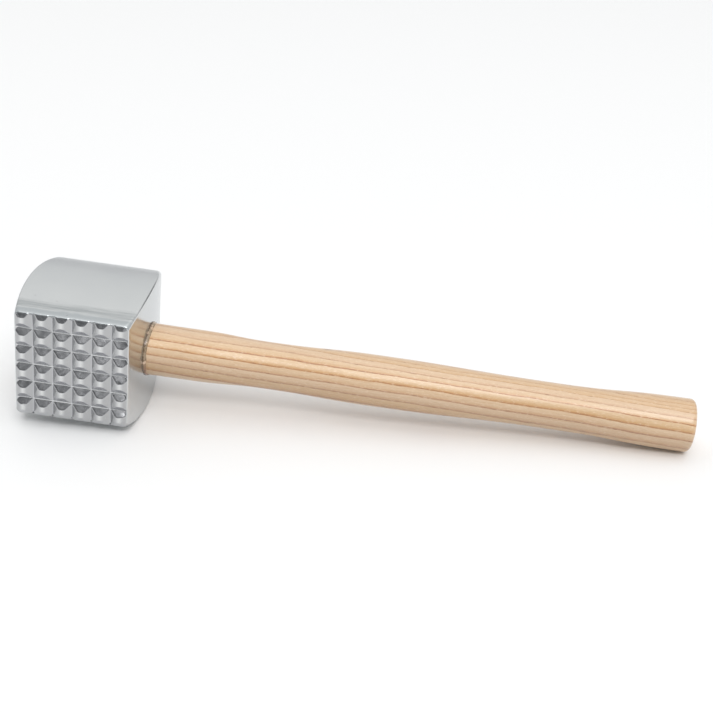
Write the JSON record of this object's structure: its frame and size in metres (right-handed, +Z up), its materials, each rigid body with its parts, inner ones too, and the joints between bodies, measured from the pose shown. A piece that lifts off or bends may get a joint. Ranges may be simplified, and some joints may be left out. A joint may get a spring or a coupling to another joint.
{
  "type": "meat mallet",
  "caption": "Two-sided meat mallet: crowned aluminium head with coarse and fine pyramid teeth, wedged and glued on a turned ash handle.",
  "frame": {"origin": "centre of the butt's flat end, on the handle's axis", "axes": "+X along the handle and out of the butt, so the head is at -X; -Y out of the coarse striking face and +Y out of the fine one; +Z up, out of one crowned side of the head"},
  "size_m": [0.3305, 0.0666, 0.0646],
  "materials": {
    "cast_aluminium": "satin, lightly polished casting",
    "ash_wood": "turned ash, semi-gloss clear lacquer",
    "wedge_wood": "sanded hardwood, unfinished",
    "wedge_steel": "ground flush, dull",
    "adhesive": "cured epoxy, dark and uneven"
  },
  "bodies": {
    "root": {"head": "cast_aluminium", "handle": "ash_wood", "kerf_wedge": "wedge_wood", "steel_wedge_front": "wedge_steel", "steel_wedge_back": "wedge_steel", "eye_adhesive": "adhesive"}
  },
  "joints": []
}
